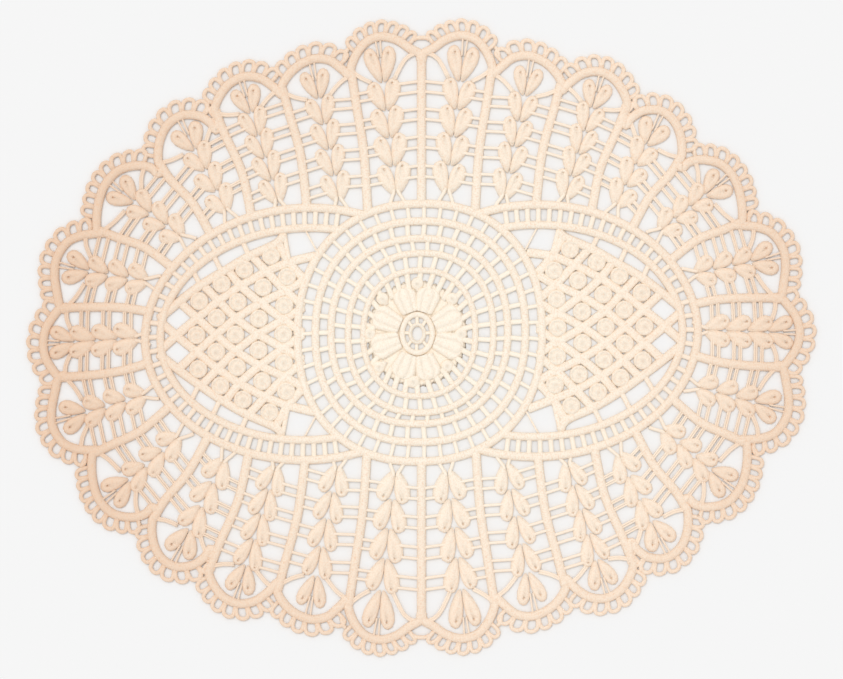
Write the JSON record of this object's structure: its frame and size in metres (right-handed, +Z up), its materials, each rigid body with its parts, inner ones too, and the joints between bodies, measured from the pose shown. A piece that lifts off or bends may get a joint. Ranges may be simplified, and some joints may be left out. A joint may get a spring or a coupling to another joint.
{
  "type": "crochet placemat",
  "caption": "Oval openwork placemat of thick cotton lace with a scalloped border, ringed centre flower and an eye-shaped panel on each side.",
  "frame": {"origin": "under the middle of the mat's outline, on the surface that it lies on", "axes": "+X along the mat's long side, +Y along its short side, +Z up out of the face that shows"},
  "size_m": [0.45, 0.3634, 0.0028],
  "materials": {
    "cotton_lace": "matte peach-cream cotton lace, a little deeper in colour towards the rim"
  },
  "bodies": {
    "root": {"placemat": "cotton_lace"}
  },
  "joints": []
}
